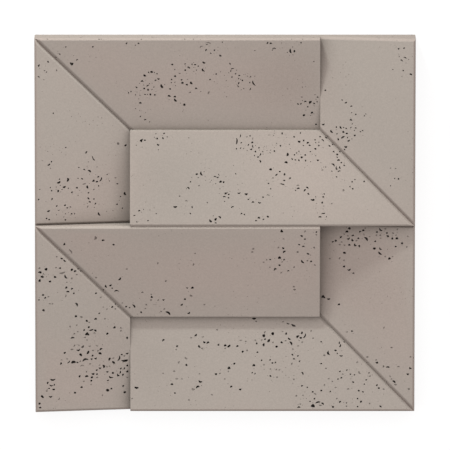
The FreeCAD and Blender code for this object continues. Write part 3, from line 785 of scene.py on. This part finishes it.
def panelCasting(settings):
    # the plane faces of the soft shell, cut round the mouths of their pores, with a bowl under each mouth
    draw = np.random.default_rng(settings["seed"])
    onFace = facePores(settings, draw)
    shell = softShell(settings)
    points = [np.array([vertex.co for vertex in shell.verts])]
    poreShadeAmount = [np.zeros(len(shell.verts))]
    polygons = []
    smooth = []
    poreCount = 0
    for face in shell.faces:
        corners = np.array([vertex.index for vertex in face.verts])
        if face.calc_area() < settings["plateArea"]:
            polygons.append(corners.tolist())
            smooth.append(False)
            continue

        plane = facePlane(face, points[0][corners])
        pores = platePores(settings, plane, onFace, draw)
        rims = poreOutline(pores, 1.0, settings["rimPoints"])
        grid = plainPoints(settings, plane, pores, rims, draw)
        places, rimIds, plate = cutPlate(plane["loop"], rims, grid)
        flat = lifted(plane, places[len(corners):])
        rings, bottoms = bowlPoints(settings, plane, pores)

        # numbers of the new points: plate, then rings, then lowest points
        start = sum(map(len, points))
        ids = np.concatenate([corners, start + np.arange(len(flat))])
        ringIds = start + len(flat) + np.arange(rings[..., 0].size).reshape(rings.shape[:3])
        bottomIds = start + len(flat) + ringIds.size + np.arange(len(bottoms))
        bowls = bowlFaces(ids[rimIds], ringIds, bottomIds)
        polygons += ids[plate].tolist() + bowls
        smooth += [False] * len(plate) + [True] * len(bowls)
        points += [flat, rings.reshape(-1, 3), bottoms]
        # painted shade in the bowls: the rims keep 0, the rings and lowest points take the pore's shade
        ringShade = np.repeat(pores["shade"], np.prod(ringIds.shape[1:]))
        poreShadeAmount += [np.zeros(len(flat)), ringShade, pores["shade"]]
        poreCount += len(bottoms)
    shell.free()

    points = np.concatenate(points)
    tone, warmth = skinTones(settings, points)
    mesh = bpy.data.meshes.new("panelCasting")
    mesh.from_pydata(points, [], polygons)
    mesh.polygons.foreach_set("use_smooth", smooth)
    for name, values in [("poreShadeAmount", np.concatenate(poreShadeAmount)), ("stainAndEdgeShade", tone), ("warmth", warmth)]:
        mesh.attributes.new(name, "FLOAT", "POINT").data.foreach_set("value", values)
    mesh.update()
    piece = bpy.data.objects.new("panelCasting", mesh)
    bpy.context.scene.collection.objects.link(piece)
    print("panel casting:", poreCount, "pores,", len(mesh.loop_triangles), "triangles")
    return piece


panel = panelCasting(casting)
panel.data.materials.append(concreteFinish(concrete))
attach(panel, "root")
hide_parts("relief_panel")


# Floor and light

studio = {
    "floorHalf": 9.0,            # metres
    "floorTone": (0.15, 0.15, 0.15, 1.0),
    "whiteShare": 0.83,          # glow of the floor where the camera sees it
    "shadowShare": 0.24,         # the part of it that shadows can darken
    "domeTone": (1.0, 0.965, 0.965, 1.0),
    "domeLevel": 0.862,
    "domeTilt": 0.45,            # the dome is this much brighter above the upper edge
    "lampTone": (0.92, 1.0, 0.99),
    "lampPower": 24.6,
    "lampPlace": (-0.39, 1.91, 0.50),
    "lampWidth": 0.25,
    "lampHeight": 0.16,
}


def seenRays(wire):
    # 1 for the rays that show the background: from the camera, from gloss and through glass
    def path(name):
        return wire.node("ShaderNodeLightPath", {}, {}, name)
    return path("Is Camera Ray").larger(path("Is Glossy Ray")).larger(path("Is Transmission Ray"))


def studioFloor(light):
    # a flat square; the rays that show it see a white glow that shadows darken a little
    half = light["floorHalf"]
    corners = [(-half, -half, 0), (half, -half, 0), (half, half, 0), (-half, half, 0)]
    mesh = bpy.data.meshes.new("floor")
    mesh.from_pydata(corners, [], [(0, 1, 2, 3)])
    floor = bpy.data.objects.new("floor", mesh)
    bpy.context.scene.collection.objects.link(floor)
    material = bpy.data.materials.new("paleFloor")
    wire = emptyTree(material)
    plain = wire.node("ShaderNodeBsdfDiffuse", {}, {"Color": light["floorTone"]})
    shaded = wire.node("ShaderNodeBsdfDiffuse", {}, {"Color": (light["shadowShare"],) * 3 + (1.0,)})
    glow = wire.node("ShaderNodeEmission", {}, {"Strength": light["whiteShare"]})
    seen = wire.node("ShaderNodeAddShader", {}, {0: shaded, 1: glow})
    surface = wire.node("ShaderNodeMixShader", {}, {0: seenRays(wire), 1: plain, 2: seen})
    wire.node("ShaderNodeOutputMaterial", {}, {"Surface": surface})
    mesh.materials.append(material)


def studioLight(light):
    # a soft dome, white where it is seen, and one lamp beyond the upper edge
    world = bpy.data.worlds.new("studio")
    bpy.context.scene.world = world
    wire = emptyTree(world)
    toward = wire.node("ShaderNodeTexCoord", {}, {}, "Generated")
    upward = wire.node("ShaderNodeSeparateXYZ", {}, {0: toward}, "Y")
    level = light["domeLevel"] * (1 + light["domeTilt"] * upward)
    dome = wire.node("ShaderNodeBackground", {}, {"Color": light["domeTone"], "Strength": level})
    white = wire.node("ShaderNodeBackground", {}, {"Color": (1, 1, 1, 1), "Strength": 1.0})
    surface = wire.node("ShaderNodeMixShader", {}, {0: seenRays(wire), 1: dome, 2: white})
    wire.node("ShaderNodeOutputWorld", {}, {"Surface": surface})

    lamp = bpy.data.lights.new("softKey", "AREA")
    lamp.shape = "RECTANGLE"
    lamp.size = light["lampWidth"]
    lamp.size_y = light["lampHeight"]
    lamp.color = light["lampTone"]
    lamp.energy = light["lampPower"]
    key = bpy.data.objects.new("softKey", lamp)
    key.location = light["lampPlace"]
    key.rotation_euler = (-key.location).to_track_quat("-Z", "Y").to_euler()
    key.visible_camera = False
    bpy.context.scene.collection.objects.link(key)


studioFloor(studio)
studioLight(studio)
print("floor and light made")


# Camera: far off with a long lens, looking down on the face from a little beyond its upper edge

viewpoint = {
    "lens": 800.0,
    "sensor": 36.0,
    "lean": 11.0,                # degrees from straight above, towards the upper edge
    "frameWidth": 0.711,         # metres across the picture at the panel
    "target": (0.0, -0.002, 0.020),
    "clipEnd": 100.0,
}


def longCamera(view):
    # stands off by the frame's width times the lens over the sensor, leaning from straight above
    data = bpy.data.cameras.new("longCamera")
    data.sensor_width = view["sensor"]
    data.lens = view["lens"]
    data.clip_end = view["clipEnd"]
    camera = bpy.data.objects.new("longCamera", data)
    lean = math.radians(view["lean"])
    distance = view["frameWidth"] * view["lens"] / view["sensor"]
    away = Vector((0.0, math.sin(lean), math.cos(lean)))
    camera.location = Vector(view["target"]) + away * distance
    camera.rotation_euler = (-lean, 0.0, 0.0)
    bpy.context.scene.collection.objects.link(camera)
    bpy.context.scene.camera = camera
    print("camera", round(distance, 2), "m from the panel")


longCamera(viewpoint)
bpy.context.scene.view_settings.view_transform = "Standard"
